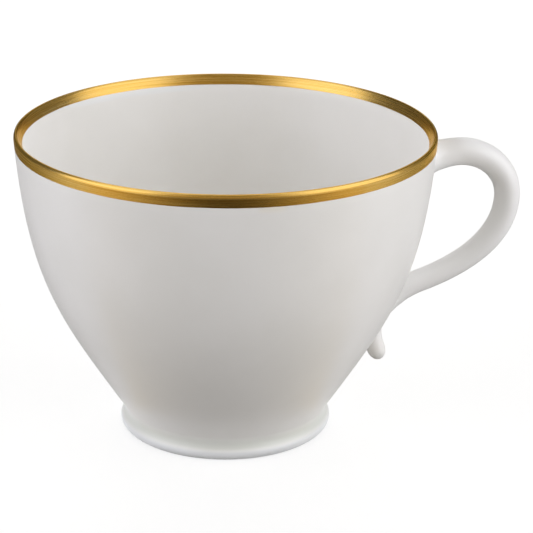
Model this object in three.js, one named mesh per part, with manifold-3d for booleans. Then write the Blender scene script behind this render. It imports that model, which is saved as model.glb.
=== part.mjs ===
// Espresso cup: a turned porcelain bowl on a flared foot, a cast loop handle and a gilded rim.
// Millimetres, +Z up. The cup stands on z = 0, the handle points along +X, and the origin
// is the middle of the footprint of cup and handle together.

import * as THREE from 'three';
import { mergeVertices } from 'three/addons/utils/BufferGeometryUtils.js';
import Module from 'manifold-3d';

// Foot
const FOOT_RADIUS = 17.0;
const FOOT_EDGE_RADIUS = 1.05;
const FOOT_RING_WIDTH = 2.4;
const COVE_RADIUS = 2.0;
const WAIST_INSET = 0.63;
const FOOT_SLIP = 0.4;

// Wall of the bowl: a curve that leaves the cove at one lean and arrives at the rim at another
const CUP_HEIGHT = 49.2;
const RIM_RADIUS = 33.0;
const WALL_FOOT_LEAN = THREE.MathUtils.degToRad(32.3);
const WALL_RIM_LEAN = THREE.MathUtils.degToRad(4.0);
const WALL_FOOT_PULL = 18.6;
const WALL_RIM_PULL = 23.2;
const LIP_ROUND = 0.55;
const LIP_WALL = 1.25;
const BASE_WALL = 2.2;
const FLOOR_THICKNESS = 3.0;
const FLOOR_ROUND = 5.0;

// Gold over the lip
const GILDING = 0.12;
const GILDING_GAP = 0.05;
const BAND_OUTSIDE = 1.95;
const BAND_INSIDE = 1.6;

// Handle: heights of its upper end from the rim and of its lower end from the table,
// and distances out from the wall beside them, all to the middle of the bar
const ROOT_DROP = 5.45;
const ROOT_DEPTH = 1.0;
const CROWN_RISE = 0.5;
const CROWN_OUT = 4.9;
const LOOP_OUT = 12.9;
const LOOP_DROP = 7.05;
const LIMB_HEIGHT = 22.6;
const LIMB_OUT = 4.1;
const LIMB_SLOPE = THREE.MathUtils.degToRad(19.5);
const LIMB_OUTER_PULL = 6.9;
const LIMB_INNER_PULL = 7.9;
const SEAT_HEIGHT = 16.4;
const SEAT_OUT = 0.45;
const TAIL_HEIGHT = 10.95;
const TAIL_OUT = 3.75;
const TAIL_LEAN = THREE.MathUtils.degToRad(30.0);

// Radius of the bar along the handle
const ROOT_BAR = 2.45;
const CROWN_BAR = 2.2;
const LOOP_BAR = 2.06;
const LIMB_BAR = 1.83;
const SEAT_BAR = 1.5;
const TAIL_BAR = 1.5;
const TIP_LENGTH = 2.0;

// Slip between the handle and the wall
const HANDLE_SLIP = 0.3;
const SLIP_COLLAR = 0.25;
const JOINT_GAP = 0.25;

// Fineness of the solids
const ROUND_SIDES = 64;
const WALL_STEPS = 12;
const FLOOR_STEPS = 5;
const ARC_STEPS = 6;
const LIP_STEPS = 6;
const BAR_SIDES = 16;
const BAR_STEPS = 9;
const WELD = 1e-4;

const wasm = await Module();
wasm.setup();

const porcelain = new THREE.MeshStandardMaterial({ color: 0xe9e7e2, roughness: 0.28, metalness: 0 });
const slip = new THREE.MeshStandardMaterial({ color: 0xe4e1da, roughness: 0.4, metalness: 0 });
const gold = new THREE.MeshStandardMaterial({ color: 0xc99a45, roughness: 0.3, metalness: 1 });

const point = (r, z) => new THREE.Vector2(r, z);

// Points along an arc of a circle, ends included
function arc(centre, radius, from, to, steps = ARC_STEPS) {
  return Array.from({ length: steps + 1 }, (_, i) => {
    const angle = THREE.MathUtils.lerp(from, to, i / steps);
    return point(centre.x + radius * Math.cos(angle), centre.y + radius * Math.sin(angle));
  });
}

// Outline of the foot and the wall
const edgeCentre = point(FOOT_RADIUS - FOOT_EDGE_RADIUS, FOOT_EDGE_RADIUS);
const coveReach = COVE_RADIUS + FOOT_EDGE_RADIUS;
const coveAcross = coveReach - WAIST_INSET;
const waistZ = FOOT_EDGE_RADIUS + Math.sqrt(coveReach ** 2 - coveAcross ** 2);
const coveCentre = point(edgeCentre.x + coveAcross, waistZ);
const seamZ = waistZ - FOOT_SLIP;

// Radius of the cove at a height
function coveRadius(z) {
  return coveCentre.x - Math.sqrt(COVE_RADIUS ** 2 - (z - waistZ) ** 2);
}

const footLean = point(Math.sin(WALL_FOOT_LEAN), Math.cos(WALL_FOOT_LEAN));
const rimLean = point(Math.sin(WALL_RIM_LEAN), Math.cos(WALL_RIM_LEAN));
const wallFoot = arc(coveCentre, COVE_RADIUS, Math.PI, Math.PI - WALL_FOOT_LEAN).at(-1);
const wallRim = point(RIM_RADIUS, CUP_HEIGHT - LIP_ROUND);
const wall = new THREE.CubicBezierCurve(
  wallFoot,
  wallFoot.clone().addScaledVector(footLean, WALL_FOOT_PULL),
  wallRim.clone().addScaledVector(rimLean, -WALL_RIM_PULL),
  wallRim,
);

// Share of the way up a rising curve at which it reaches a height, by halving the stretch
// that holds it until no number is left between its ends
function shareAt(curvePoint, z) {
  let low = 0;
  let high = 1;
  let middle = (low + high) / 2;
  while (low < middle && middle < high) {
    if (curvePoint(middle).y < z) {
      low = middle;
    } else {
      high = middle;
    }
    middle = (low + high) / 2;
  }
  return low;
}

const wallAt = (z) => shareAt((t) => wall.getPoint(t), z);

// Point at a distance from the wall, positive outwards
function besideWall(t, distance) {
  const along = wall.getTangent(t);
  return wall.getPoint(t).addScaledVector(point(along.y, -along.x), distance);
}

// Inner wall: the outer one moved in by a thickness that tapers to the lip
function innerWall(t) {
  return besideWall(t, -THREE.MathUtils.lerp(BASE_WALL, LIP_WALL, t));
}

const innerWallAt = (z) => shareAt(innerWall, z);

// Lip: an outline round the top of the wall, moved in by an inset, from one end of the gold to the other
function lipOutline(inset, outsideDrop, insideDrop) {
  const outer = besideWall(wallAt(CUP_HEIGHT - outsideDrop), -inset);
  const inner = innerWall(innerWallAt(CUP_HEIGHT - insideDrop));
  inner.x += inset;
  const half = LIP_WALL / 2;
  const middle = point(RIM_RADIUS - half, CUP_HEIGHT - LIP_ROUND);
  const crown = Array.from({ length: LIP_STEPS + 1 }, (_, i) => {
    const angle = (Math.PI * i) / LIP_STEPS;
    return point(
      middle.x + (half - inset) * Math.cos(angle),
      middle.y + (LIP_ROUND - inset) * Math.sin(angle),
    );
  });
  return [outer, ...crown, inner];
}

// A closed outline, or one that starts and ends on the axis, turned about the axis of the cup.
// The outline runs up the outside and down the inside.
function turned(outline) {
  return new THREE.LatheGeometry(outline, ROUND_SIDES).rotateX(Math.PI / 2);
}

function ringOf(outline) {
  return turned([...outline, outline[0]]);
}

// Only positions, with shared corners joined and collapsed triangles left out
function welded(geometry) {
  geometry.deleteAttribute('normal');
  geometry.deleteAttribute('uv');
  const joined = mergeVertices(geometry, WELD);
  const corners = joined.index.array;
  const kept = [];
  for (let i = 0; i < corners.length; i += 3) {
    const triangle = [corners[i], corners[i + 1], corners[i + 2]];
    if (new Set(triangle).size === 3) {
      kept.push(...triangle);
    }
  }
  return joined.setIndex(kept);
}

function solidOf(geometry) {
  const closed = welded(geometry);
  return new wasm.Manifold(new wasm.Mesh({
    numProp: 3,
    vertProperties: new Float32Array(closed.attributes.position.array),
    triVerts: new Uint32Array(closed.index.array),
  }));
}

function geometryOf(solid) {
  const mesh = solid.getMesh();
  const geometry = new THREE.BufferGeometry();
  geometry.setAttribute('position', new THREE.BufferAttribute(new Float32Array(mesh.vertProperties), 3));
  geometry.setIndex(new THREE.BufferAttribute(new Uint32Array(mesh.triVerts), 1));
  geometry.computeVertexNormals();
  return geometry;
}

function piece(name, geometry, material) {
  const mesh = new THREE.Mesh(geometry, material);
  mesh.name = name;
  return mesh;
}

// Bowl: cove, wall, lip inset for the gold, inner wall, rounded floor and flat underside
function bowlGeometry() {
  const inset = GILDING + GILDING_GAP;
  const outsideDrop = BAND_OUTSIDE + GILDING_GAP;
  const insideDrop = BAND_INSIDE + GILDING_GAP;
  const bandStart = wallAt(CUP_HEIGHT - outsideDrop);
  const bandEnd = innerWallAt(CUP_HEIGHT - insideDrop);
  const outside = Array.from({ length: WALL_STEPS }, (_, i) => (
    wall.getPoint((bandStart * (i + 1)) / WALL_STEPS)
  ));
  const floorZ = waistZ + FLOOR_THICKNESS;
  const floorStart = innerWallAt(floorZ + FLOOR_ROUND);
  const inside = Array.from({ length: WALL_STEPS + 1 }, (_, i) => (
    innerWall(THREE.MathUtils.lerp(bandEnd, floorStart, i / WALL_STEPS))
  ));
  const last = inside.at(-1);
  const along = wall.getTangent(floorStart);
  const corner = point(last.x - (along.x * (last.y - floorZ)) / along.y, floorZ);
  const flat = point(corner.x - last.distanceTo(corner), floorZ);
  const floor = new THREE.QuadraticBezierCurve(last, corner, flat).getPoints(FLOOR_STEPS).slice(1);
  return turned([
    point(0, waistZ),
    ...arc(coveCentre, COVE_RADIUS, Math.PI, Math.PI - WALL_FOOT_LEAN, ARC_STEPS / 2),
    ...outside,
    ...lipOutline(inset, outsideDrop, insideDrop),
    ...inside,
    ...floor,
    point(0, floorZ),
  ]);
}

// Foot ring: flat tread, rounded edge, the lower part of the cove and a plain inner face
const ringInside = edgeCentre.x - FOOT_RING_WIDTH;

function footGeometry() {
  const touch = Math.atan2(waistZ - edgeCentre.y, coveAcross);
  const coveEnd = Math.PI + Math.asin(FOOT_SLIP / COVE_RADIUS);
  return ringOf([
    point(ringInside, 0),
    ...arc(edgeCentre, FOOT_EDGE_RADIUS, -Math.PI / 2, touch),
    ...arc(coveCentre, COVE_RADIUS, Math.PI + touch, coveEnd, ARC_STEPS / 2).slice(1, -1),
    point(coveRadius(seamZ), seamZ),
    point(ringInside, seamZ),
  ]);
}

function footSlipGeometry() {
  return ringOf([
    point(ringInside, seamZ),
    point(coveRadius(seamZ), seamZ),
    point(coveRadius(waistZ), waistZ),
    point(ringInside, waistZ),
  ]);
}

function gildingGeometry() {
  const over = lipOutline(0, BAND_OUTSIDE, BAND_INSIDE);
  const under = lipOutline(GILDING, BAND_OUTSIDE, BAND_INSIDE);
  return ringOf([...over, ...under.reverse()]);
}

// A curve from one place and direction to another. The pulls are how far it keeps to each direction.
function bend(from, fromWay, to, toWay, fromPull = from.distanceTo(to) / 3, toPull = fromPull) {
  return new THREE.CubicBezierCurve(
    from,
    from.clone().addScaledVector(fromWay, fromPull),
    to.clone().addScaledVector(toWay, -toPull),
    to,
  );
}

// Pull, as a share of the radius, with which such a curve follows a quarter of a circle
const QUARTER_ARC = (4 / 3) * (Math.SQRT2 - 1);

// Middle line of the handle, in the plane of the axis and the handle
function handleCurves() {
  const out = (z, distance) => point(wall.getPoint(wallAt(z)).x + distance, z);
  const rootZ = CUP_HEIGHT - ROOT_DROP;
  const root = out(rootZ, -ROOT_DEPTH);
  const crown = point(out(rootZ, CROWN_OUT).x, rootZ + CROWN_RISE);
  const loop = point(out(rootZ, LOOP_OUT).x, rootZ - LOOP_DROP);
  const limb = out(LIMB_HEIGHT, LIMB_OUT);
  const seat = out(SEAT_HEIGHT, SEAT_OUT);
  const tail = out(TAIL_HEIGHT, TAIL_OUT);
  const rootWay = crown.clone().sub(root).normalize();
  const limbWay = point(-Math.cos(LIMB_SLOPE), -Math.sin(LIMB_SLOPE));
  const seatWay = wall.getTangent(wallAt(SEAT_HEIGHT)).negate();
  const tailWay = point(Math.sin(TAIL_LEAN), -Math.cos(TAIL_LEAN));
  const level = point(1, 0);
  const down = point(0, -1);
  return [
    bend(root, rootWay, crown, level),
    bend(crown, level, loop, down, QUARTER_ARC * (loop.x - crown.x), QUARTER_ARC * (crown.y - loop.y)),
    bend(loop, down, limb, limbWay, LIMB_OUTER_PULL, LIMB_INNER_PULL),
    bend(limb, limbWay, seat, seatWay),
    bend(seat, seatWay, tail, tailWay),
  ];
}

// Stations along the handle: place, direction and radius, with a rounded tip past the end of the tail
function handleStations(extra) {
  const bars = [ROOT_BAR, CROWN_BAR, LOOP_BAR, LIMB_BAR, SEAT_BAR, TAIL_BAR];
  const curves = handleCurves();
  const stations = curves.flatMap((curve, k) => {
    const first = k === 0 ? 0 : 1;
    return Array.from({ length: BAR_STEPS + 1 - first }, (_, i) => {
      const t = (i + first) / BAR_STEPS;
      const blend = THREE.MathUtils.smoothstep(t, 0, 1);
      const radius = THREE.MathUtils.lerp(bars[k], bars[k + 1], blend) + extra;
      return { place: curve.getPoint(t), way: curve.getTangent(t), radius };
    });
  });
  const { place, way, radius } = stations.at(-1);
  const tip = arc(point(0, 0), 1, 0, Math.PI / 2).slice(1).map((step) => ({
    place: place.clone().addScaledVector(way, (TIP_LENGTH + extra) * step.y),
    way,
    radius: radius * step.x,
  }));
  return [...stations, ...tip];
}

// A bar turned to its tapering radius, one ring a station, then bent so that each ring sits at its station
function bentBar(stations) {
  const profile = stations.map((station, i) => point(station.radius, i));
  const blank = new THREE.LatheGeometry([point(0, 0), ...profile], BAR_SIDES);
  const position = blank.attributes.position;
  const corner = new THREE.Vector3();
  for (let i = 0; i < position.count; i += 1) {
    corner.fromBufferAttribute(position, i);
    const { place, way } = stations[Math.round(corner.y)];
    position.setXYZ(i, place.x - way.y * corner.x, corner.z, place.y + way.x * corner.x);
  }
  return blank;
}

// The wall and all inside it, swollen by a distance, from under the lower joint to the rim
function swollenWall(distance) {
  const steps = 2 * WALL_STEPS;
  const outside = Array.from({ length: steps + 1 }, (_, i) => besideWall(i / steps, distance));
  return solidOf(turned([point(0, outside[0].y), ...outside, point(0, outside.at(-1).y)]));
}

const bar = solidOf(bentBar(handleStations(0)));
const collar = solidOf(bentBar(handleStations(SLIP_COLLAR)));
const slipLayer = swollenWall(JOINT_GAP + HANDLE_SLIP).subtract(swollenWall(JOINT_GAP));
const handleSolid = bar.subtract(swollenWall(JOINT_GAP + HANDLE_SLIP + JOINT_GAP));
const slipSolids = collar.intersect(slipLayer).decompose();
slipSolids.sort((a, b) => b.boundingBox().max[2] - a.boundingBox().max[2]);

// The rim reaches furthest one way and the loop of the handle the other
const loopEnd = handleCurves()[1].getPoint(1).x + LOOP_BAR;
const cup = new THREE.Group();
cup.position.x = (RIM_RADIUS - loopEnd) / 2;
cup.add(
  piece('bowl', bowlGeometry(), porcelain),
  piece('foot_ring', footGeometry(), porcelain),
  piece('foot_slip_joint', footSlipGeometry(), slip),
  piece('handle', geometryOf(handleSolid), porcelain),
  piece('upper_slip_joint', geometryOf(slipSolids[0]), slip),
  piece('lower_slip_joint', geometryOf(slipSolids[1]), slip),
  piece('rim_gilding', gildingGeometry(), gold),
);

const part = new THREE.Group();
part.add(cup);

export default part;
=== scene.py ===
# %% [markdown]
# # A gilded espresso cup
#
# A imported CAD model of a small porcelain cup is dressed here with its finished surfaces. The CAD
# model fixes where everything is and how large it is. This script replaces its faceted solids with
# smooth skins of the same shape and gives them a glaze and a burnished gold rim. Load the frame
# first, and keep its box, because nothing added later may grow out of it.

# %% Load the CAD frame
import math

import bpy
import numpy as np
from mathutils import Matrix, Vector


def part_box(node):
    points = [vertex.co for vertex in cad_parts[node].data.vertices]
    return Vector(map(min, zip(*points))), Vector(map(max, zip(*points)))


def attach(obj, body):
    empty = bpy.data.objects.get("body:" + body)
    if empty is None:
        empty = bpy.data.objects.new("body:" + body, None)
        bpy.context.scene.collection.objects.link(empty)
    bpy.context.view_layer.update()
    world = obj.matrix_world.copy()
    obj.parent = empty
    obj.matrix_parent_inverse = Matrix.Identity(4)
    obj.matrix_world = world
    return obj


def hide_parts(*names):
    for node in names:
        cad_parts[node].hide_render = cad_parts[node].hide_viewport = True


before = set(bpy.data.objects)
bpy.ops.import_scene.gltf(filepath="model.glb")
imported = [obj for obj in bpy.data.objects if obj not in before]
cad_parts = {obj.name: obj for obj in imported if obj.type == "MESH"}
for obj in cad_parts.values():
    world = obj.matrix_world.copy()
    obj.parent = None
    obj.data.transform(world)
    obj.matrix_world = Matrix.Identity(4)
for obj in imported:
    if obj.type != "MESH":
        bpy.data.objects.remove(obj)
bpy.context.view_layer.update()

print("CAD nodes:", ", ".join(sorted(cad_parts)))

# %% [markdown]
# ## Sizes
#
# A potter thinks of a cup as an outline turned about an axis, so all shapes below are worked out in
# millimetres from the cup's own axis, and only the finished points are turned into Blender's metres.
# The main sizes could be typed in again. The axis, the rim and the foot are measured on the frame
# instead, so the skins follow the solids.

# %% Read the main sizes from the frame
MM = 0.001
rim_low, rim_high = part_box("rim_gilding")
foot_low, foot_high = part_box("foot_ring")

AXIS_X = (rim_low.x + rim_high.x) / 2
RIM_RADIUS = (rim_high.y - rim_low.y) / 2 / MM
CUP_HEIGHT = rim_high.z / MM
FOOT_RADIUS = (foot_high.y - foot_low.y) / 2 / MM
print(f"rim {2 * RIM_RADIUS:.2f} mm, height {CUP_HEIGHT:.2f} mm, foot {2 * FOOT_RADIUS:.2f} mm")

# %% [markdown]
# ## Camera
#
# The cup is seen from a little above, with its handle to the right and turned slightly away. A long
# lens from a third of a metre keeps the ellipse of the rim calm. A camera can be dragged into place
# by hand, but turn, tilt and distance around the cup are easier to judge and to correct one at a time.
# It is aimed beside the axis, so that cup and handle fill the frame together.

# %% Place the camera
VIEW_TURN = math.radians(-7.0)
VIEW_TILT = math.radians(20.515)
VIEW_ROLL = math.radians(0.564)
VIEW_DISTANCE = 342.96
VIEW_HEIGHT = 25.0
AIM_RIGHT = 6.513
AIM_UP = 1.214
LENS = 144.98

view_back = Vector((
    math.sin(VIEW_TURN) * math.cos(VIEW_TILT),
    -math.cos(VIEW_TURN) * math.cos(VIEW_TILT),
    math.sin(VIEW_TILT),
))
view_right = Vector((math.cos(VIEW_TURN), math.sin(VIEW_TURN), 0.0))
view_up = view_back.cross(view_right)
view_centre = Vector((AXIS_X, 0.0, VIEW_HEIGHT * MM))
eye = view_centre + view_back * VIEW_DISTANCE * MM
aim = view_centre + (view_right * AIM_RIGHT + view_up * AIM_UP) * MM

camera = bpy.data.objects.new("camera", bpy.data.cameras.new("camera"))
camera.data.lens = LENS
camera.data.clip_start = 0.01
level = (aim - eye).to_track_quat("-Z", "Y").to_matrix()
camera.matrix_world = Matrix.Translation(eye) @ (level @ Matrix.Rotation(VIEW_ROLL, 3, "Z")).to_4x4()
bpy.context.scene.collection.objects.link(camera)
bpy.context.scene.camera = camera
bpy.context.scene.view_settings.view_transform = "Standard"
print("camera at", [round(value, 4) for value in eye])

# %% [markdown]
# ## Node helper
#
# A material is a small graph of nodes. It can be drawn by hand in the shader editor, but a graph in
# code can be read and repeated. Adding a node takes several lines, so one helper makes a node, sets its
# options, and fills each input with a number, a colour or another node's output.

# %% Add one shader node
def add_node(tree, kind, inputs=None, **options):
    """One node of a graph: options are its settings, and inputs are values or sockets to join."""
    made = tree.nodes.new("ShaderNode" + kind)
    for option, value in options.items():
        setattr(made, option, value)
    for socket, value in (inputs or {}).items():
        if isinstance(value, bpy.types.NodeSocket):
            tree.links.new(value, made.inputs[socket])
        else:
            made.inputs[socket].default_value = value
    return made


def empty_tree(owner):
    """The node graph of a material or world, cleared."""
    owner.use_nodes = True
    owner.node_tree.nodes.clear()
    return owner.node_tree


def product(tree, first, second):
    """Two values multiplied."""
    return add_node(tree, "Math", {0: first, 1: second}, operation="MULTIPLY").outputs[0]


def seen_directly(tree):
    """1 for rays from the camera and for mirror-like rays that show the background, 0 for the rest."""
    path = add_node(tree, "LightPath")
    mirrored = add_node(tree, "Math", {
        0: path.outputs["Is Glossy Ray"], 1: path.outputs["Is Transmission Ray"]}, operation="MAXIMUM")
    shown = add_node(tree, "Math", {
        0: path.outputs["Is Camera Ray"], 1: mirrored.outputs[0]}, operation="MAXIMUM")
    return shown.outputs[0]


print("node helpers ready")

# %% [markdown]
# ## Floor and surroundings
#
# The cup stands on a plain white table in a white room. Lighting the table until it turns white
# would burn out the porcelain too, so the table carries a little light of its own that only the
# camera and reflections see. It stays white where nothing shades it, and the cup's shadow stays.

# %% Lay the floor and set the room
FLOOR_HALF = 1.5
FLOOR_DROP = 0.00001
FLOOR_TONE = (0.310, 0.295, 0.272, 1.0)
FLOOR_GLOW = 0.755
GLOW_TINT = (0.980, 0.995, 1.015, 1.0)
ROOM_LIGHT = 0.32
ROOM_TINT = (1.0, 0.972, 0.90, 1.0)

floor_corners = FLOOR_HALF * np.array([[-1, -1], [1, -1], [1, 1], [-1, 1]])
floor_mesh = bpy.data.meshes.new("floor")
floor_mesh.from_pydata(np.c_[floor_corners, np.full(4, -FLOOR_DROP)].tolist(), [], [[0, 1, 2, 3]])
floor = bpy.data.objects.new("floor", floor_mesh)
bpy.context.scene.collection.objects.link(floor)


def floor_finish():
    """Matt pale table: plain diffuse, plus a glow that only direct and mirrored rays see."""
    material = bpy.data.materials.new("white_table")
    tree = empty_tree(material)
    matt = add_node(tree, "BsdfDiffuse", {"Color": FLOOR_TONE})
    glow = add_node(tree, "Emission", {
        "Color": GLOW_TINT, "Strength": product(tree, seen_directly(tree), FLOOR_GLOW)})
    both = add_node(tree, "AddShader", {0: matt.outputs[0], 1: glow.outputs[0]})
    add_node(tree, "OutputMaterial", {"Surface": both.outputs[0]})
    return material


def room_light():
    """White where the camera or a reflection looks, a dim even light for everything else."""
    world = bpy.data.worlds.new("white_room")
    tree = empty_tree(world)
    white = add_node(tree, "Background", {"Color": (1.0, 1.0, 1.0, 1.0), "Strength": 1.0})
    dim = add_node(tree, "Background", {"Color": ROOM_TINT, "Strength": ROOM_LIGHT})
    both = add_node(tree, "MixShader", {0: seen_directly(tree), 1: dim.outputs[0], 2: white.outputs[0]})
    add_node(tree, "OutputWorld", {"Surface": both.outputs[0]})
    return world


floor_mesh.materials.append(floor_finish())
bpy.context.scene.world = room_light()
print("floor and room made")

# %% [markdown]
# ## Lamps
#
# White porcelain is drawn only by its shading. Two large panels light it from the sides, the left one
# a little cooler, and the front stays dimmer. A weaker panel behind keeps the back from going grey.
# Small lamps are quicker to set but draw hard edges, and wide panels give broad gradients. Each one is
# placed by its turn around the cup, measured from the camera, and its height angle. Reflections don't
# show the panels, because the cards of the next step are made for that.

# %% Hang the soft panels
LAMP_DISTANCE = 0.7
LEFT_TINT = (0.93, 0.935, 1.0)
RIGHT_TINT = (0.965, 0.965, 1.0)


def soft_panel(name, turn, height, wide, tall, power, tint):
    """A lamp on a sphere round the cup, facing it. Angles in degrees, turn 0 at the camera."""
    around = VIEW_TURN + math.radians(turn)
    above = math.radians(height)
    back = Vector((
        math.sin(around) * math.cos(above), -math.cos(around) * math.cos(above), math.sin(above)))
    lamp = bpy.data.objects.new(name, bpy.data.lights.new(name, "AREA"))
    lamp.data.shape = "RECTANGLE"
    lamp.data.size = wide
    lamp.data.size_y = tall
    lamp.data.energy = power
    lamp.data.color = tint
    lamp.location = view_centre + back * LAMP_DISTANCE
    lamp.rotation_euler = back.to_track_quat("Z", "Y").to_euler()
    lamp.visible_camera = False
    lamp.visible_glossy = False
    bpy.context.scene.collection.objects.link(lamp)
    return lamp


panels = [
    soft_panel("left_panel", -73, 10, 0.95, 0.8, 6.25, LEFT_TINT),
    soft_panel("right_panel", 68, 10, 0.95, 0.8, 6.8, RIGHT_TINT),
    soft_panel("back_panel", 180, 14, 0.8, 0.6, 4.4, RIGHT_TINT),
]
print("panels:", ", ".join(panel.name for panel in panels))

# %% [markdown]
# ## Reflection cards
#
# Burnished metal is only as lively as what it mirrors. In a room that is white all round, a gold rim
# turns into a flat yellow line. A photographer stands cards round the cup: bright ones at its sides
# draw the long highlights, and dim ones in front, behind and on the table draw the deep bands between
# them. The lamps could be placed to do both jobs, but then each change to the gold would change the
# porcelain too. These cards are seen in reflections alone: they light nothing, cast no shadow, and no
# camera sees them.

# %% Stand the cards
CARD_STEPS = 96

# Each profile is a row of points, each a distance from the axis and a height in mm
TABLE_CARD = [(19.0, 0.5), (600.0, 0.5)]
FRONT_CARD = [(600.0, 0.5), (580.0, 150.0), (540.0, 240.0), (480.0, 330.0), (280.0, 540.0),
              (120.0, 620.0)]
BACK_CARD = [(600.0, 0.5), (600.0, 270.0)]
WING_CARD = [(600.0, 0.5), (600.0, 300.0), (420.0, 560.0)]
SIDE_CARD = [(610.0, 0.5), (610.0, 300.0), (480.0, 500.0)]

# Each tone is a brightness at an angle from the camera, and shares change it from point to point
TABLE_TONES = [(0, 0.06), (14, 0.08), (36, 0.33), (62, 0.72), (84, 0.75), (104, 0.40), (148, 0.25),
               (162, 0.10), (180, 0.06)]
LEFT_TABLE_TONES = [(62, 0.72), (84, 0.75), (104, 0.33), (135, 0.19), (150, 0.20), (165, 0.22),
                    (180, 0.10)]
FRONT_TONES = [(0, 0.20), (22, 0.24), (36, 0.40)]
FRONT_SHARES = [1.0, 1.2, 1.9, 1.6, 0.7, 0.7]
BACK_TONES = [(0, 0.08)]
LEFT_WING_TONES = [(0, 0.10)]
RIGHT_WING_TONES = [(0, 0.18)]
SIDE_TONES = [(0, 1.5)]
WARM_TINT = (1.04, 0.855, 0.51, 1.0)
WHITE_TINT = (1.0, 1.0, 1.0, 1.0)


def reflection_card(name, start, end, profile, tones, paper, shares=1.0):
    """A card bent round the axis: x = distance sin(turn), y = -distance cos(turn), z = height, for each
    point of a profile and each turn from start to end. Its tone is stored on its points."""
    turn = np.linspace(start, end, CARD_STEPS)
    angle = VIEW_TURN + np.radians(turn)
    distance, height = np.array(profile)[:, :, None].transpose(1, 0, 2)
    corners = np.stack(np.broadcast_arrays(
        distance * np.sin(angle), -distance * np.cos(angle), height), axis=-1).reshape(-1, 3)
    row = CARD_STEPS * np.arange(len(profile) - 1)[:, None]
    step = (row + np.arange(CARD_STEPS - 1)).ravel()
    quads = np.stack([step, step + CARD_STEPS, step + CARD_STEPS + 1, step + 1], axis=-1)
    mesh = bpy.data.meshes.new(name)
    mesh.from_pydata((corners * MM + [AXIS_X, 0.0, 0.0]).tolist(), [], quads.tolist())
    along = np.interp(np.abs((turn + 180) % 360 - 180), *np.transpose(tones))
    tone = np.outer(np.broadcast_to(shares, len(profile)), along)
    mesh.attributes.new("tone", "FLOAT", "POINT").data.foreach_set("value", tone.astype(np.float32).ravel())
    mesh.materials.append(paper)
    card = bpy.data.objects.new(name, mesh)
    bpy.context.scene.collection.objects.link(card)
    card.visible_camera = False
    card.visible_diffuse = False
    card.visible_shadow = False
    card.visible_transmission = False
    return card


def card_finish(name, tint):
    """Paper of a tint whose brightness is the tone stored on the card."""
    material = bpy.data.materials.new(name)
    tree = empty_tree(material)
    tone = add_node(tree, "Attribute", attribute_name="tone").outputs["Fac"]
    paper = add_node(tree, "Emission", {"Color": tint, "Strength": tone})
    add_node(tree, "OutputMaterial", {"Surface": paper.outputs[0]})
    return material


warm_paper = card_finish("warm_paper", WARM_TINT)
white_paper = card_finish("white_paper", WHITE_TINT)
cards = [
    reflection_card("near_table", -70, 70, TABLE_CARD, TABLE_TONES, warm_paper),
    reflection_card("right_table", 70, 180, TABLE_CARD, TABLE_TONES, white_paper),
    reflection_card("left_table", -180, -70, TABLE_CARD, LEFT_TABLE_TONES, white_paper),
    reflection_card("front_card", -36, 36, FRONT_CARD, FRONT_TONES, warm_paper, FRONT_SHARES),
    reflection_card("back_card", 150, 210, BACK_CARD, BACK_TONES, white_paper),
    reflection_card("left_side", -93, -40, SIDE_CARD, SIDE_TONES, white_paper),
    reflection_card("right_side", 40, 99, SIDE_CARD, SIDE_TONES, white_paper),
    reflection_card("left_wing", -150, -93, WING_CARD, LEFT_WING_TONES, white_paper),
    reflection_card("right_wing", 99, 150, WING_CARD, RIGHT_WING_TONES, white_paper),
]
print("cards:", ", ".join(card.name for card in cards))

# %% [markdown]
# ## Turning an outline
#
# Bowl, foot and gold are all bodies of revolution. Blender's Screw or Spin would turn an outline as
# well, but an array of outline points times an array of angles gives every vertex in one step, and
# the poles can be single points instead of a pinch of stacked ones.

# %% Make meshes from whole arrays
ROUND_SIDES = 256
CREASE = math.radians(40.0)


def make_piece(name, points, quads, triangles, material):
    """An object at the origin whose mesh is filled from arrays. Points are in mm from the cup's axis."""
    corners = np.concatenate([quads.ravel(), triangles.ravel()]).astype(np.int32)
    sides = np.concatenate([np.full(len(quads), 4), np.full(len(triangles), 3)]).astype(np.int32)
    mesh = bpy.data.meshes.new(name)
    mesh.vertices.add(len(points))
    mesh.vertices.foreach_set("co", (points * MM + [AXIS_X, 0.0, 0.0]).astype(np.float32).ravel())
    mesh.loops.add(len(corners))
    mesh.loops.foreach_set("vertex_index", corners)
    mesh.polygons.add(len(sides))
    mesh.polygons.foreach_set("loop_start", (np.cumsum(sides) - sides).astype(np.int32))
    mesh.polygons.foreach_set("use_smooth", np.ones(len(sides), bool))
    mesh.update(calc_edges=True)
    mesh.validate()
    mesh.set_sharp_from_angle(angle=CREASE)
    mesh.materials.append(material)
    piece = bpy.data.objects.new(name, mesh)
    bpy.context.scene.collection.objects.link(piece)
    print(f"{name}: {len(points)} points, {2 * len(quads) + len(triangles)} triangles")
    return piece


def grid_quads(rows, columns, close_rows):
    """Corner numbers of a grid that always closes along its columns, and along its rows if asked."""
    row = np.arange(rows if close_rows else rows - 1)[:, None]
    column = np.arange(columns)[None, :]
    after_row = (row + 1) % rows
    after_column = (column + 1) % columns
    corners = [row * columns + column, row * columns + after_column,
               after_row * columns + after_column, after_row * columns + column]
    return np.stack(np.broadcast_arrays(*corners), axis=-1).reshape(-1, 4)


def turn_outline(outline, sides=ROUND_SIDES):
    """x = r cos(angle), y = r sin(angle), z = height: each outline point times each angle."""
    angle = np.linspace(0.0, 2 * math.pi, sides, endpoint=False)
    r = outline[:, :1]
    z = np.broadcast_to(outline[:, 1:], (len(outline), sides))
    return np.stack([r * np.cos(angle), r * np.sin(angle), z], axis=-1).reshape(-1, 3)


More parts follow.
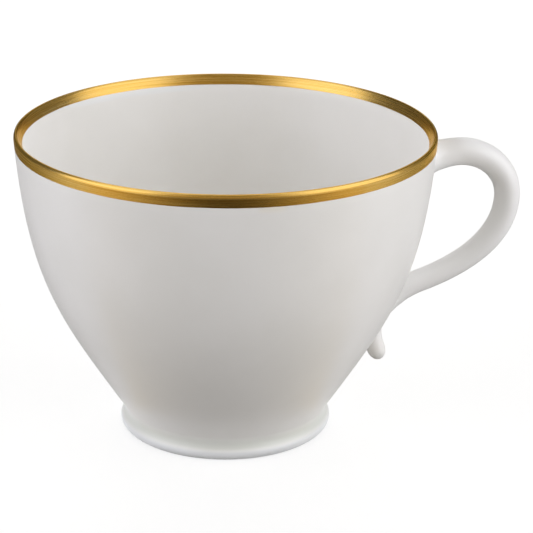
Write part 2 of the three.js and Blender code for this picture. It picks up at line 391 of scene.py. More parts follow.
def turned_piece(name, outline, material):
    """An outline that starts and ends on the axis, turned, with one point at each pole."""
    rings = turn_outline(outline[1:-1])
    count = len(outline) - 2
    column = np.arange(ROUND_SIDES)
    after = (column + 1) % ROUND_SIDES
    low_pole = len(rings)
    high_pole = low_pole + 1
    last = (count - 1) * ROUND_SIDES
    triangles = np.concatenate([
        np.stack([np.full(ROUND_SIDES, low_pole), after, column], axis=-1),
        np.stack([np.full(ROUND_SIDES, high_pole), last + column, last + after], axis=-1),
    ])
    poles = np.array([[0.0, 0.0, outline[0, 1]], [0.0, 0.0, outline[-1, 1]]])
    points = np.concatenate([rings, poles])
    return make_piece(name, points, grid_quads(count, ROUND_SIDES, False), triangles, material)


def turned_ring(name, outline, material):
    """A closed outline turned into a ring."""
    quads = grid_quads(len(outline), ROUND_SIDES, True)
    return make_piece(name, turn_outline(outline), quads, np.empty((0, 3), int), material)


print(f"turned pieces: {ROUND_SIDES} sides, edges over {math.degrees(CREASE):.0f} degrees stay sharp")

# %% [markdown]
# ## The outline of the cup
#
# Seen from the side, the cup rises from a rounded foot edge through a hollow cove into a wall that
# leans out at the bottom and stands nearly upright at the rim. A curve through many measured points
# would wobble. Arcs give the foot and cove, and one cubic curve gives the wall, because it needs only
# a lean and a pull at each end. The inner face of the lip tapers, as a turner thins a drinking edge.

# %% Work out the foot, cove and wall
FOOT_EDGE_RADIUS = 1.05
COVE_RADIUS = 2.0
WAIST_INSET = 0.63
WALL_FOOT_LEAN = math.radians(32.3)
WALL_RIM_LEAN = math.radians(4.0)
WALL_FOOT_PULL = 18.6
WALL_RIM_PULL = 23.2
LIP_ROUND = 0.55
LIP_WALL = 1.25
LIP_TAPER = 0.68
TAPER_DEPTH = 1.6
CREST_INSET = 0.42
BASE_WALL = 2.2


def arc(centre, radius, start, end, count):
    """Points on a circle between two angles."""
    angle = np.linspace(start, end, count)
    return centre + radius * np.stack([np.cos(angle), np.sin(angle)], axis=-1)


def rounded_corner(start, corner, end, count):
    """Points of a quadratic curve that leaves start towards corner and reaches end from it."""
    t = np.linspace(0.0, 1.0, count)[:, None]
    return (1 - t) ** 2 * start + 2 * t * (1 - t) * corner + t ** 2 * end


def cubic(ends, t):
    """Cubic curve through its first and last point, drawn towards the two between them."""
    t = t[:, None]
    weights = [(1 - t) ** 3, 3 * t * (1 - t) ** 2, 3 * t ** 2 * (1 - t), t ** 3]
    return sum(weight * end for weight, end in zip(weights, ends))


def cubic_way(ends, t):
    """Unit direction of the same curve, from the slopes of its weights."""
    t = t[:, None]
    steps = np.diff(np.array(ends), axis=0)
    slope = (1 - t) ** 2 * steps[0] + 2 * t * (1 - t) * steps[1] + t ** 2 * steps[2]
    return slope / np.linalg.norm(slope, axis=1, keepdims=True)


def lean_way(angle):
    """Direction that leans out from upright by an angle."""
    return np.array([math.sin(angle), math.cos(angle)])


edge_centre = np.array([FOOT_RADIUS - FOOT_EDGE_RADIUS, FOOT_EDGE_RADIUS])
cove_reach = COVE_RADIUS + FOOT_EDGE_RADIUS
cove_across = cove_reach - WAIST_INSET
waist_z = FOOT_EDGE_RADIUS + math.sqrt(cove_reach ** 2 - cove_across ** 2)
cove_centre = np.array([edge_centre[0] + cove_across, waist_z])
touch_angle = math.atan2(waist_z - FOOT_EDGE_RADIUS, cove_across)

wall_foot = arc(cove_centre, COVE_RADIUS, math.pi, math.pi - WALL_FOOT_LEAN, 2)[-1]
wall_rim = np.array([RIM_RADIUS, CUP_HEIGHT - LIP_ROUND])
wall_ends = [
    wall_foot,
    wall_foot + WALL_FOOT_PULL * lean_way(WALL_FOOT_LEAN),
    wall_rim - WALL_RIM_PULL * lean_way(WALL_RIM_LEAN),
    wall_rim,
]

# A close table of the wall, from which any height is looked up
WALL_TABLE = np.linspace(0.0, 1.0, 4001)
outer_table = cubic(wall_ends, WALL_TABLE)
way_table = cubic_way(wall_ends, WALL_TABLE)
outward_table = np.stack([way_table[:, 1], -way_table[:, 0]], axis=-1)
thickness_table = BASE_WALL + (LIP_WALL - BASE_WALL) * WALL_TABLE
inner_table = outer_table - thickness_table[:, None] * outward_table
inner_depth = CUP_HEIGHT - inner_table[:, 1]
inner_table[:, 0] += LIP_TAPER * np.clip(1 - inner_depth / TAPER_DEPTH, 0.0, 1.0)


def looked_up(table, z):
    """Radius of a tabled outline at given heights."""
    return np.interp(z, table[:, 1], table[:, 0])


print(f"waist at {waist_z:.2f} mm, wall from {wall_foot.round(2)} to {wall_rim.round(2)}")

# %% [markdown]
# ## Glaze
#
# Fired porcelain under a clear glaze is white with a warm grey cast, satin rather than mirror-bright,
# and never quite even: the glaze lies in soft waves, pools cool and greenish in the cove, where it is
# also made darker as painted shade, and holds a few dark kiln specks. The edge of the foot is painted
# cooler and darker, as a painted reflection and shade, and a strip under the gold inside is a painted
# highlight. A faint tan smear lies under the gold outside. The tread is wiped clean before firing and
# stays dull. All of this could be painted on an unwrapped image. Noise and heights on Object
# coordinates need no unwrapping and match from piece to piece, and a tint stored on each point paints
# light and shade on the inside of the bowl and on the handle.

# %% Choose the tones and limits of the glaze
GLAZE_LIGHT = (0.865, 0.855, 0.835, 1.0)
GLAZE_DARK = (0.835, 0.825, 0.800, 1.0)
# Greenish pooled glaze in the cove, made darker there as painted shade
GLAZE_POOL_AND_SHADE = (0.665, 0.680, 0.640, 1.0)
# Painted reflection and shade: the foot's edge is coloured cooler and darker
FOOT_EDGE_REFLECTION_AND_SHADE = (0.745, 0.760, 0.772, 1.0)
# Painted highlight: a cool strip just under the inner gold
INNER_PAINTED_HIGHLIGHT = (0.785, 0.792, 0.796, 1.0)
GLAZE_STAIN = (0.840, 0.765, 0.640, 1.0)
BARE_CLAY = (0.720, 0.690, 0.640, 1.0)
SPECK = (0.380, 0.330, 0.270, 1.0)

# Heights over the table and depths under the rim, in mm
BARE_EDGE = (0.04, 0.16)
FOOT_EDGE_SPAN = (1.2, 2.1)
POOL_SHADE_EDGE = (1.3, 2.2)
POOL_SHADE_FADE = (2.4, 4.4)
HIGHLIGHT_HIGH = 1.5
HIGHLIGHT_LOW = 2.7
HIGHLIGHT_EDGE = (-0.2, 0.4)
INSIDE_RIM = (0.8, 0.7)
STAIN_LOW = 3.3
BAND_OUTSIDE = 1.95

# Directions from the axis, and how closely a point has to lie along them
# The first direction is where the painted highlight under the inner gold lies lowest
HIGHLIGHT_LOW_WAY = (-0.39, 0.92, 0.0)
HIGHLIGHT_LOW_SPAN = (0.83, 0.98)
STAIN_WAY = (0.08, -0.997, 0.0)
STAIN_SPAN = (0.9972, 0.9998)
STAIN_SHARE = 0.5

# Scales of the noise and the gloss that it sets
CLOUD_SCALE = 70.0
SPECK_SCALE = 95.0
SPECK_SIZE = (0.010, 0.022)
SPECK_SHARE = 0.55
SPECK_CHOICE = (0.80, 0.85)
GRAIN_SCALE = 900.0
SATIN = (0.29, 0.36)
BARE_ROUGHNESS = 0.75
WAVE_SCALE = 160.0
WAVE_HEIGHT = 0.03
print(f"glaze: roughness {SATIN[0]} to {SATIN[1]}, pooled up to {POOL_SHADE_FADE[1]} mm over the table")


# %% Mix colours and make soft steps
def mixed(tree, factor, first, second):
    """Colour that goes from the first to the second as the factor goes from 0 to 1."""
    mix = add_node(tree, "Mix", {0: factor, 6: first, 7: second}, data_type="RGBA")
    return mix.outputs[2]


def ramp(tree, value, low, high, to_low=0.0, to_high=1.0):
    """Smooth step from one value to another while the input goes from low to high."""
    step = add_node(tree, "MapRange", {
        "Value": value, "From Min": low, "From Max": high, "To Min": to_low, "To Max": to_high},
        interpolation_type="SMOOTHSTEP")
    return step.outputs[0]


def ramp_mm(tree, value, span, to_low=0.0, to_high=1.0):
    """The same step, with its two limits in mm."""
    return ramp(tree, value, span[0] * MM, span[1] * MM, to_low, to_high)


def dot(tree, first, second):
    """How closely two directions agree: 1 when they are the same."""
    return add_node(tree, "VectorMath", {0: first, 1: second}, operation="DOT_PRODUCT").outputs["Value"]


print("colour helpers ready")


# %% Make the glaze
def glaze_finish():
    """White glaze: clouds times the stored tint of painted light and shade, then the foot edge's painted
    reflection and shade, pool with painted shade, painted highlight under the inner gold, smear, specks
    and bare tread by place, with grain in the gloss and low waves as bump."""
    material = bpy.data.materials.new("white_glaze")
    tree = empty_tree(material)
    place = add_node(tree, "TexCoord").outputs["Object"]
    xyz = add_node(tree, "SeparateXYZ", {0: place})
    height = xyz.outputs["Z"]

    cloud = add_node(tree, "TexNoise", {"Vector": place, "Scale": CLOUD_SCALE, "Detail": 3.0})
    colour = mixed(tree, ramp(tree, cloud.outputs[0], 0.3, 0.7), GLAZE_LIGHT, GLAZE_DARK)

    # Painted light and shade: the stored tint makes the handle and the deep inside lighter and the inside
    # near the rim darker
    tint = add_node(tree, "Attribute", attribute_name="painted_light_tint").outputs["Vector"]
    colour = add_node(tree, "VectorMath", {0: colour, 1: tint}, operation="MULTIPLY").outputs["Vector"]
    # Painted reflection and shade: below the foot edge's height the colour turns cooler and darker
    colour = mixed(tree, ramp_mm(tree, height, FOOT_EDGE_SPAN, 1.0, 0.0), colour, FOOT_EDGE_REFLECTION_AND_SHADE)
    # Greenish pool in the cove, darkened as painted shade
    pool_and_shade = product(tree, ramp_mm(tree, height, POOL_SHADE_EDGE), ramp_mm(tree, height, POOL_SHADE_FADE, 1.0, 0.0))
    colour = mixed(tree, pool_and_shade, colour, GLAZE_POOL_AND_SHADE)

    flat_place = add_node(tree, "CombineXYZ", {
        "X": add_node(tree, "Math", {0: xyz.outputs["X"], 1: AXIS_X}, operation="SUBTRACT").outputs[0],
        "Y": xyz.outputs["Y"]}).outputs[0]
    radius = add_node(tree, "VectorMath", {0: flat_place}, operation="LENGTH").outputs["Value"]
    # Painted highlight: a cool strip just under the inner gold, lower on one side
    inside = ramp_mm(tree, radius, (RIM_RADIUS - INSIDE_RIM[0], RIM_RADIUS - INSIDE_RIM[1]), 1.0, 0.0)
    way = add_node(tree, "VectorMath", {0: flat_place}, operation="NORMALIZE").outputs["Vector"]
    low_edge = ramp(tree, dot(tree, way, HIGHLIGHT_LOW_WAY), *HIGHLIGHT_LOW_SPAN,
                    (CUP_HEIGHT - HIGHLIGHT_HIGH) * MM, (CUP_HEIGHT - HIGHLIGHT_LOW) * MM)
    above_edge = add_node(tree, "Math", {0: height, 1: low_edge}, operation="SUBTRACT").outputs[0]
    inner_highlight = product(tree, inside, ramp_mm(tree, above_edge, HIGHLIGHT_EDGE))
    colour = mixed(tree, inner_highlight, colour, INNER_PAINTED_HIGHLIGHT)

    under_band = ramp_mm(tree, height, (CUP_HEIGHT - STAIN_LOW, CUP_HEIGHT - BAND_OUTSIDE))
    smeared = ramp(tree, dot(tree, way, STAIN_WAY), *STAIN_SPAN, 0.0, STAIN_SHARE)
    stain = product(tree, smeared, under_band)
    colour = mixed(tree, stain, colour, GLAZE_STAIN)

    cells = add_node(tree, "TexVoronoi", {"Vector": place, "Scale": SPECK_SCALE})
    chosen = add_node(tree, "SeparateColor", {0: cells.outputs["Color"]}).outputs[0]
    spot = product(tree, ramp(tree, cells.outputs["Distance"], *SPECK_SIZE, SPECK_SHARE, 0.0),
                   ramp(tree, chosen, *SPECK_CHOICE))
    colour = mixed(tree, spot, colour, SPECK)

    bare = ramp_mm(tree, height, BARE_EDGE, 1.0, 0.0)
    colour = mixed(tree, bare, colour, BARE_CLAY)

    grain = add_node(tree, "TexNoise", {"Vector": place, "Scale": GRAIN_SCALE, "Detail": 2.0})
    satin = ramp(tree, grain.outputs[0], 0.3, 0.7, *SATIN)
    rough = add_node(tree, "Mix", {0: bare, 2: satin, 3: BARE_ROUGHNESS}).outputs[0]

    wave = add_node(tree, "TexNoise", {"Vector": place, "Scale": WAVE_SCALE, "Detail": 1.0})
    waves = add_node(tree, "Bump", {
        "Height": wave.outputs[0], "Distance": WAVE_HEIGHT * MM, "Strength": 0.5})

    shader = add_node(tree, "BsdfPrincipled", {
        "Base Color": colour, "Roughness": rough, "Normal": waves.outputs[0], "IOR": 1.5,
        "Specular IOR Level": 0.5})
    add_node(tree, "OutputMaterial", {"Surface": shader.outputs[0]})
    return material


def store_painted_light(piece, painted_tints):
    """Stores a tint of painted light and shade on each point of a piece, by which the glaze multiplies its
    colour.
    """
    stored = piece.data.attributes.new("painted_light_tint", "FLOAT_VECTOR", "POINT")
    values = np.broadcast_to(painted_tints, (len(stored.data), 3)).astype(np.float32)
    stored.data.foreach_set("vector", values.ravel())


glaze = glaze_finish()
print("glaze nodes:", len(glaze.node_tree.nodes))

# %% [markdown]
# ## Bowl
#
# The bowl is thin-walled: its outline goes up the outside, over the lip and down the inside to a
# rounded floor. A Solidify modifier would make a wall of one thickness, so both faces are drawn, and
# the wall thins from foot to lip. The lip is set back by a hair so that the gold film sits flush on
# it. Its crest is a quarter ellipse outside. A second one inside would end upright, and the gold would
# show a line where the taper starts, so a corner is rounded into the taper instead. The glaze is painted
# a little lighter deep inside and darker towards the rim, as painted light and shade.

# %% Draw the lip and the bowl
FLOOR_THICKNESS = 3.0
FLOOR_ROUND = 5.0
GOLD_SEAT = 0.07
SEAT_SLOPE = 0.12
BAND_INSIDE = 1.6
OUTER_ROUND = 0.72
INNER_ROUND = 0.5
# Painted light and shade inside the bowl: a tone by height, lighter deep down and darker near the rim
INNER_PAINTED_LIGHT = [(8.0, 1.03), (20.0, 1.055), (30.0, 1.045), (36.0, 1.0), (42.0, 0.965), (46.0, 0.93)]
COVE_POINTS = 24
WALL_POINTS = 72
LIP_POINTS = 10
INNER_POINTS = 64
FLOOR_POINTS = 12


def lip_outline(inset, outside_drop, inside_drop, count):
    """Up the outer face, over the crest by a quarter ellipse and a rounded corner, and down the inner face.
    All of it is moved into the wall by an inset."""
    outer_z = CUP_HEIGHT - OUTER_ROUND
    inner_z = CUP_HEIGHT - INNER_ROUND
    outside_z = np.linspace(CUP_HEIGHT - outside_drop, outer_z, count)[:-1]
    inside_z = np.linspace(inner_z, CUP_HEIGHT - inside_drop, count)[1:]
    outside = np.stack([looked_up(outer_table, outside_z) - inset, outside_z], axis=-1)
    inside = np.stack([looked_up(inner_table, inside_z) + inset, inside_z], axis=-1)
    crest = RIM_RADIUS - CREST_INSET
    angle = np.linspace(0.0, math.pi / 2, 2 * count)
    outer_half = looked_up(outer_table, outer_z) - crest - inset
    rise = np.stack([crest + outer_half * np.cos(angle),
                     outer_z + (OUTER_ROUND - inset) * np.sin(angle)], axis=-1)
    top = np.array([crest, CUP_HEIGHT - inset])
    seat = np.array([looked_up(inner_table, inner_z) + inset, inner_z])
    way = seat - inside[0]
    corner = seat + way * (top[1] - seat[1]) / way[1]
    fall = rounded_corner(top, corner, seat, 2 * count)
    return np.concatenate([outside, rise, fall[1:], inside])


def bowl_outline():
    """Flat underside, cove, wall, lip, inner wall, and a floor with a rounded corner."""
    floor_z = waist_z + FLOOR_THICKNESS
    cove = arc(cove_centre, COVE_RADIUS, math.pi, math.pi - WALL_FOOT_LEAN, COVE_POINTS)
    band_z = CUP_HEIGHT - BAND_OUTSIDE
    inner_band_z = CUP_HEIGHT - BAND_INSIDE
    wall_z = np.linspace(wall_foot[1], band_z + SEAT_SLOPE, WALL_POINTS)[1:-1]
    outside = np.stack([looked_up(outer_table, wall_z), wall_z], axis=-1)
    lip_drops = (BAND_OUTSIDE - 2 * SEAT_SLOPE, BAND_INSIDE - 2 * SEAT_SLOPE)
    lip = lip_outline(GOLD_SEAT, *lip_drops, LIP_POINTS)
    inner_z = np.linspace(inner_band_z + SEAT_SLOPE, floor_z + FLOOR_ROUND, INNER_POINTS)[1:]
    inside = np.stack([looked_up(inner_table, inner_z), inner_z], axis=-1)
    last = inside[-1]
    way = last - inside[-2]
    corner = last + way * (floor_z - last[1]) / way[1]
    flat = corner - [np.linalg.norm(last - corner), 0.0]
    bend = rounded_corner(last, corner, flat, 2 * FLOOR_POINTS)[1:]
    to_centre = np.linspace(flat[0], 0.0, FLOOR_POINTS)[1:]
    centre = np.stack([to_centre, np.full_like(to_centre, floor_z)], axis=-1)
    from_centre = np.linspace(0.0, cove[0, 0], FLOOR_POINTS)[:-1]
    under = np.stack([from_centre, np.full_like(from_centre, waist_z)], axis=-1)
    return np.concatenate([under, cove, outside, lip, inside, bend, centre])


def inner_painted_light(outline):
    """1 outside, and a tone of painted light and shade looked up by height past the crest, for each point
    of the outline.
    """
    past_crest = np.arange(len(outline)) > outline[:, 1].argmax()
    return np.where(past_crest, np.interp(outline[:, 1], *np.transpose(INNER_PAINTED_LIGHT)), 1.0)


cup_outline = bowl_outline()
print(f"bowl outline: {len(cup_outline)} points, inner face of the lip tapered by {LIP_TAPER} mm")

# %% Turn the bowl
bowl = turned_piece("glazed_bowl", cup_outline, glaze)
outline_painted_light = inner_painted_light(cup_outline)
point_painted_light = np.concatenate([np.repeat(outline_painted_light[1:-1], ROUND_SIDES), outline_painted_light[[0, -1]]])
store_painted_light(bowl, point_painted_light[:, None])
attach(bowl, "root")
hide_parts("bowl")

# %% [markdown]
# ## Foot
#
# The foot is a low flared ring with a rounded edge. A Bevel modifier could round a plain ring, but the
# edge runs into the hollow of the cove, so both are arcs of one outline. It meets the bowl at the
# waist, where both outlines stand upright, so no line shows between the two skins. Inside, the ring
# is rounded into the underside of the bowl, as a glaze-filled corner is.

# %% Turn the foot
FOOT_RING_WIDTH = 2.4
INNER_EDGE_RADIUS = 0.45
INNER_FILLET = 0.8
EDGE_POINTS = 32
FILLET_POINTS = 12


def foot_outline():
    """Rounded edge, cove up to the waist, then down the inside by a fillet and a rounded edge to the tread.
    All four are arcs of circles."""
    ring_inside = edge_centre[0] - FOOT_RING_WIDTH
    edge = arc(edge_centre, FOOT_EDGE_RADIUS, -math.pi / 2, touch_angle, EDGE_POINTS)
    cove = arc(cove_centre, COVE_RADIUS, math.pi + touch_angle, math.pi, COVE_POINTS)[1:]
    fillet_centre = np.array([ring_inside - INNER_FILLET, waist_z - INNER_FILLET])
    fillet = arc(fillet_centre, INNER_FILLET, math.pi / 2, 0.0, FILLET_POINTS)
    inner_centre = np.array([ring_inside + INNER_EDGE_RADIUS, INNER_EDGE_RADIUS])
    inner_edge = arc(inner_centre, INNER_EDGE_RADIUS, math.pi, 1.5 * math.pi, FILLET_POINTS)
    return np.concatenate([edge, cove, fillet, inner_edge])


foot = turned_ring("glazed_foot", foot_outline(), glaze)
store_painted_light(foot, 1.0)
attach(foot, "root")
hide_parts("foot_ring", "foot_slip_joint")

# %% [markdown]
# ## Handle
#
# The handle is a cast bar, round in section, that leaves the wall below the rim, loops round a
# fingertip, lies against the wall lower down and ends in a free tail. Its middle line could be drawn
# as a Bezier curve in the viewport. Here the same kind of curve is written as five bends, each from one
# place and direction to the next, and most places are given by their distance from the wall.

# %% Draw the middle line
ROOT_DROP = 5.45
ROOT_DEPTH = 1.0
ROOT_SAG = 0.5
CROWN_RISE = 0.5
CROWN_OUT = 4.9
LOOP_OUT = 12.9
LOOP_DROP = 7.05
LIMB_HEIGHT = 22.6
LIMB_OUT = 4.1
LIMB_SLOPE = math.radians(19.5)
LIMB_OUTER_PULL = 6.9
LIMB_INNER_PULL = 7.9
SEAT_HEIGHT = 16.4
SEAT_OUT = 0.0
TAIL_HEIGHT = 11.05
TAIL_OUT = 3.6
TAIL_LEAN = math.radians(21.0)
QUARTER_ARC = 4 / 3 * (math.sqrt(2) - 1)
BAR_RADII = [2.45, 2.2, 2.06, 1.83, 1.62, 1.5]
TIP_LENGTH = 2.0
SEAT_PULL = 0.8
TAIL_PULL = 3.0


def beside_wall(z, distance):
    """Point at a height, a distance out from the wall."""
    return np.array([looked_up(outer_table, z) + distance, z])


def bend_between(start, start_way, end, end_way, start_pull=None, end_pull=None):
    """The four points of a cubic curve from one place and direction to another."""
    third = np.linalg.norm(end - start) / 3
    start_pull = third if start_pull is None else start_pull
    end_pull = start_pull if end_pull is None else end_pull
    return [start, start + start_pull * start_way, end - end_pull * end_way, end]


def handle_bends():
    """Root to crown, round the loop, in along the lower limb, down to its seat on the wall, and out into
    the tail."""
    root_z = CUP_HEIGHT - ROOT_DROP
    root = beside_wall(root_z - ROOT_SAG, -ROOT_DEPTH)
    crown = beside_wall(root_z, CROWN_OUT) + [0.0, CROWN_RISE]
    loop = beside_wall(root_z, LOOP_OUT) - [0.0, LOOP_DROP]
    limb = beside_wall(LIMB_HEIGHT, LIMB_OUT)
    seat = beside_wall(SEAT_HEIGHT, SEAT_OUT)
    tail = beside_wall(TAIL_HEIGHT, TAIL_OUT)
    root_way = (crown - root) / np.linalg.norm(crown - root)
    limb_way = -np.array([math.cos(LIMB_SLOPE), math.sin(LIMB_SLOPE)])
    seat_share = np.interp(SEAT_HEIGHT, outer_table[:, 1], WALL_TABLE)
    seat_way = -cubic_way(wall_ends, np.array([seat_share]))[0]
    tail_way = np.array([math.sin(TAIL_LEAN), -math.cos(TAIL_LEAN)])
    across = np.array([1.0, 0.0])
    down = np.array([0.0, -1.0])
    round_loop = np.abs(loop - crown) * QUARTER_ARC
    return [
        bend_between(root, root_way, crown, across),
        bend_between(crown, across, loop, down, round_loop[0], round_loop[1]),
        bend_between(loop, down, limb, limb_way, LIMB_OUTER_PULL, LIMB_INNER_PULL),
        bend_between(limb, limb_way, seat, seat_way),
        bend_between(seat, seat_way, tail, tail_way, SEAT_PULL, TAIL_PULL),
    ]


print(f"middle line: {len(handle_bends())} bends")

# %% Space stations along the line
BEND_STATIONS = 80
TIP_STATIONS = 32


def handle_stations():
    """Place, direction and radius along the bar, with half an ellipse closing the tail's tip."""
    t = np.linspace(0.0, 1.0, BEND_STATIONS, endpoint=False)
    eased = (t * t * (3 - 2 * t))[:, None]
    bends = handle_bends()
    places = [cubic(ends, t) for ends in bends]
    ways = [cubic_way(ends, t) for ends in bends]
    radii = [a + (b - a) * eased for a, b in zip(BAR_RADII, BAR_RADII[1:])]
    turn = np.linspace(0.0, math.pi / 2, TIP_STATIONS, endpoint=False)[:, None]
    tail_end = bends[-1][-1]
    tail_way = cubic_way(bends[-1], np.ones(1))
    places.append(tail_end + TIP_LENGTH * np.sin(turn) * tail_way)
    ways.append(np.repeat(tail_way, TIP_STATIONS, axis=0))
    radii.append(BAR_RADII[-1] * np.cos(turn))
    tip = tail_end + TIP_LENGTH * tail_way[0]
    return np.concatenate(places), np.concatenate(ways), np.concatenate(radii), tip


bar_places, bar_ways, bar_radii, bar_tip = handle_stations()
bar_length = np.linalg.norm(np.diff(bar_places, axis=0), axis=1).sum()
print(f"bar of the handle: {bar_length:.1f} mm along its middle, {len(bar_places)} stations")

# %% [markdown]
# ## The bar round that line
#
# A curve with a bevel makes a bar as well, but its skin can't spread where it meets the wall. So a
# circle of changing radius is carried along the line as one grid, and each point close to the wall is
# moved along it, more below the bar than above, as slip smoothed round a joint is. What lies inside the
# wall is kept near its surface and out of sight. The bar is painted a shade lighter than the turned
# bowl, fading out along the tail, as painted light.

# %% Sweep the bar
BAR_SIDES = 96
# Painted light: the handle's colour is multiplied up so that it looks lighter, all but the tail
HANDLE_PAINTED_LIGHT = (1.045, 1.055, 1.08)
FLARE = 0.7
FLARE_BELOW = 0.6
ROOT_REACH = 2.4
SEAT_REACH = 0.9
BURIED = 0.7


def wall_distance(points):
    """Distance from the wall, positive outside, and the wall's outward direction, for many points."""
    r = np.hypot(points[:, 0], points[:, 1])
    z = points[:, 2]
    out_r = np.interp(z, outer_table[:, 1], outward_table[:, 0])
    out_z = np.interp(z, outer_table[:, 1], outward_table[:, 1])
    distance = (r - looked_up(outer_table, z)) * out_r
    outward = np.stack([points[:, 0] / r * out_r, points[:, 1] / r * out_r, out_z], axis=-1)
    return distance, outward


def swept_bar(places, ways, radii):
    """Middle point + radius x (cos(angle) x normal + sin(angle) x side), then flared along the wall: each
    point within reach moves away from the bar's middle by a quarter-circle fillet's share, more if it
    lies below the middle than above it."""
    angle = np.linspace(0.0, 2 * math.pi, BAR_SIDES, endpoint=False)
    normal = np.stack([-ways[:, 1], np.zeros(len(ways)), ways[:, 0]], axis=-1)
    side = np.array([0.0, 1.0, 0.0])
    spoke = np.cos(angle)[:, None] * normal[:, None, :] + np.sin(angle)[:, None] * side
    middle = np.stack([places[:, 0], np.zeros(len(places)), places[:, 1]], axis=-1)
    points = (middle[:, None, :] + radii[:, None, :] * spoke).reshape(-1, 3)
    spoke = spoke.reshape(-1, 3)
    distance, outward = wall_distance(points)
    station = np.arange(len(places))
    reach = np.repeat(np.where(station < BEND_STATIONS, ROOT_REACH, SEAT_REACH), BAR_SIDES)
    share = 1 - np.clip(distance / reach, 0.0, 1.0)
    fillet = 1 - np.sqrt(1 - share ** 2)
    along = spoke - (spoke * outward).sum(axis=1, keepdims=True) * outward
    under_share = 1 - FLARE_BELOW * spoke[:, 2:]
    points = points + FLARE * under_share * fillet[:, None] * along
    distance, outward = wall_distance(points)
    return points + np.maximum(-BURIED - distance, 0.0)[:, None] * outward


def handle_piece(material):
    """The swept grid with a fan of triangles on the buried root and one on the tip."""
    rings = swept_bar(bar_places, bar_ways, bar_radii)
    count = len(bar_places)
    root = rings[:BAR_SIDES].mean(axis=0)
    tip = np.array([bar_tip[0], 0.0, bar_tip[1]])
    column = np.arange(BAR_SIDES)
    after = (column + 1) % BAR_SIDES
    last = (count - 1) * BAR_SIDES
    triangles = np.concatenate([
        np.stack([np.full(BAR_SIDES, len(rings)), after, column], axis=-1),
        np.stack([np.full(BAR_SIDES, len(rings) + 1), last + column, last + after], axis=-1),
    ])
    points = np.concatenate([rings, [root, tip]])
    return make_piece("glazed_handle", points, grid_quads(count, BAR_SIDES, False), triangles, material)


def handle_painted_light():
    """Painted light along the bar: a lighter tint fading to none along the last bend, for each point."""
    tail_start = (len(BAR_RADII) - 1) * BEND_STATIONS
    share = np.clip((tail_start - np.arange(len(bar_places))) / BEND_STATIONS, 0.0, 1.0)
    point_share = np.concatenate([np.repeat(share, BAR_SIDES), [1.0, 0.0]])[:, None]
    return 1 + point_share * (np.array(HANDLE_PAINTED_LIGHT) - 1)


handle = handle_piece(glaze)
store_painted_light(handle, handle_painted_light())
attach(handle, "root")
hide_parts("handle", "upper_slip_joint", "lower_slip_joint")

# %% [markdown]
# ## Gold
#
# The rim is painted with liquid gold, fired, and burnished by hand. Burnishing runs along the rim,
# so the metal has fine streaks that follow it, with the gloss and the tone changing from streak to
# streak. The shader's anisotropy would stretch each highlight, but it draws no streaks. Noise that is
# drawn out along the rim does, and an attribute that measures the distance across the band lets it
# follow the lip from the outer edge over to the inner one.

# %% Make the burnished gold
GOLD_LIGHT = (0.90, 0.61, 0.200, 1.0)
GOLD_DARK = (0.69, 0.40, 0.075, 1.0)
GOLD_EDGE = (1.0, 0.80, 0.45, 1.0)
STREAK_ALONG = 45.0
STREAK_ACROSS = 9.0
HAIR_SCALE = 3.5
BURNISH = (0.20, 0.36)
SCRATCH_DEPTH = 0.01


def gold_finish():
    """Burnished gold: noise drawn out along the rim sets tone, gloss and fine scratches."""
    material = bpy.data.materials.new("burnished_gold")
    tree = empty_tree(material)
    place = add_node(tree, "TexCoord").outputs["Object"]
    xyz = add_node(tree, "SeparateXYZ", {0: place})
    across = add_node(tree, "Attribute", attribute_name="across_band").outputs["Fac"]
    streak_place = add_node(tree, "CombineXYZ", {
        "X": product(tree, xyz.outputs["X"], STREAK_ALONG),
        "Y": product(tree, xyz.outputs["Y"], STREAK_ALONG),
        "Z": product(tree, across, STREAK_ACROSS)}).outputs[0]
    streak = add_node(tree, "TexNoise", {"Vector": streak_place, "Scale": 1.0, "Detail": 4.0})
    hair = add_node(tree, "TexNoise", {"Vector": streak_place, "Scale": HAIR_SCALE, "Detail": 3.0})
    colour = mixed(tree, ramp(tree, streak.outputs[0], 0.3, 0.7), GOLD_LIGHT, GOLD_DARK)
    gloss = ramp(tree, hair.outputs[0], 0.25, 0.75, *BURNISH)
    scratches = add_node(tree, "Bump", {
        "Height": hair.outputs[0], "Distance": SCRATCH_DEPTH * MM, "Strength": 0.35})
    shader = add_node(tree, "BsdfPrincipled", {
        "Base Color": colour, "Metallic": 1.0, "Roughness": gloss, "Normal": scratches.outputs[0],
        "Specular Tint": GOLD_EDGE})
    add_node(tree, "OutputMaterial", {"Surface": shader.outputs[0]})
    return material


gold = gold_finish()
print("gold nodes:", len(gold.node_tree.nodes))

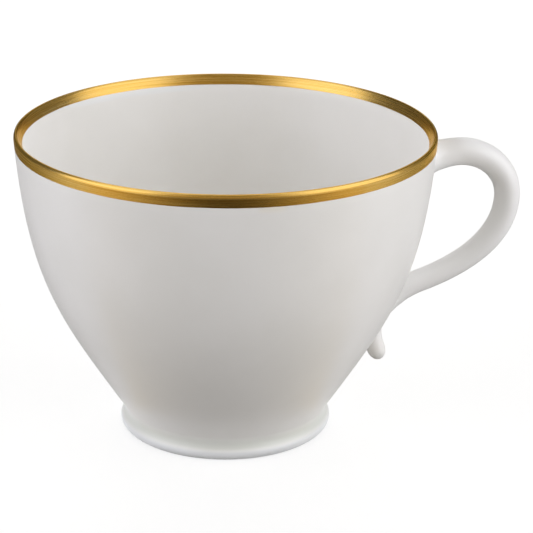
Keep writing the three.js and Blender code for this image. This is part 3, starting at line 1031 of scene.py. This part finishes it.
# %% [markdown]
# ## Rim band
#
# The band wraps the lip, further down outside than inside. A brush drew its edges, so they waver by
# a few hundredths of a millimetre. The gold could be a second material on the bowl's own faces, but
# then its edges would follow the mesh. So the band is a thin closed shell: one grid over the lip and
# back under it, with each edge shifted up or down by a sum of slow waves round the rim.

# %% Wrap the gold over the lip
GOLD_FILM = 0.05
EDGE_WAVER = 0.035
BAND_ROWS = 14


def waver(angle, phases):
    """Sum of three slow waves round the rim, of 5, 11 and 23 turns."""
    turns = np.array([5, 11, 23])
    sizes = np.array([0.5, 0.3, 0.2])
    return (sizes * np.sin(np.outer(angle, turns) + phases)).sum(axis=1)


def band_shell():
    """Outline over the lip and back under it, turned, with heights near each edge shifted by its waver."""
    over = lip_outline(0.0, BAND_OUTSIDE, BAND_INSIDE, BAND_ROWS)
    under = lip_outline(GOLD_FILM, BAND_OUTSIDE, BAND_INSIDE, BAND_ROWS)[::-1]
    outline = np.concatenate([over, under])
    points = turn_outline(outline).reshape(len(outline), ROUND_SIDES, 3)
    angle = np.linspace(0.0, 2 * math.pi, ROUND_SIDES, endpoint=False)
    depth = CUP_HEIGHT - outline[:, 1]
    outside = outline[:, 0] > RIM_RADIUS - CREST_INSET
    drop = np.where(outside, BAND_OUTSIDE, BAND_INSIDE)
    share = np.clip((depth - LIP_ROUND) / (drop - LIP_ROUND), 0.0, 1.0) ** 2
    phases = [np.array([0.4, 2.1, 5.0]), np.array([3.3, 0.9, 1.7])]
    shift = np.where(outside[:, None], waver(angle, phases[0]), waver(angle, phases[1]))
    points[..., 2] += EDGE_WAVER * share[:, None] * shift
    steps = np.linalg.norm(np.diff(over, axis=0), axis=1)
    across = np.concatenate([[0.0], np.cumsum(steps)])
    return points.reshape(-1, 3), np.repeat(np.concatenate([across, across[::-1]]), ROUND_SIDES)


band_points, band_across = band_shell()
band_rows = len(band_points) // ROUND_SIDES
band_quads = grid_quads(band_rows, ROUND_SIDES, True)
rim = make_piece("gold_rim", band_points, band_quads, np.empty((0, 3), int), gold)
rim.data.attributes.new("across_band", "FLOAT", "POINT").data.foreach_set(
    "value", band_across.astype(np.float32))
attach(rim, "root")
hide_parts("rim_gilding")
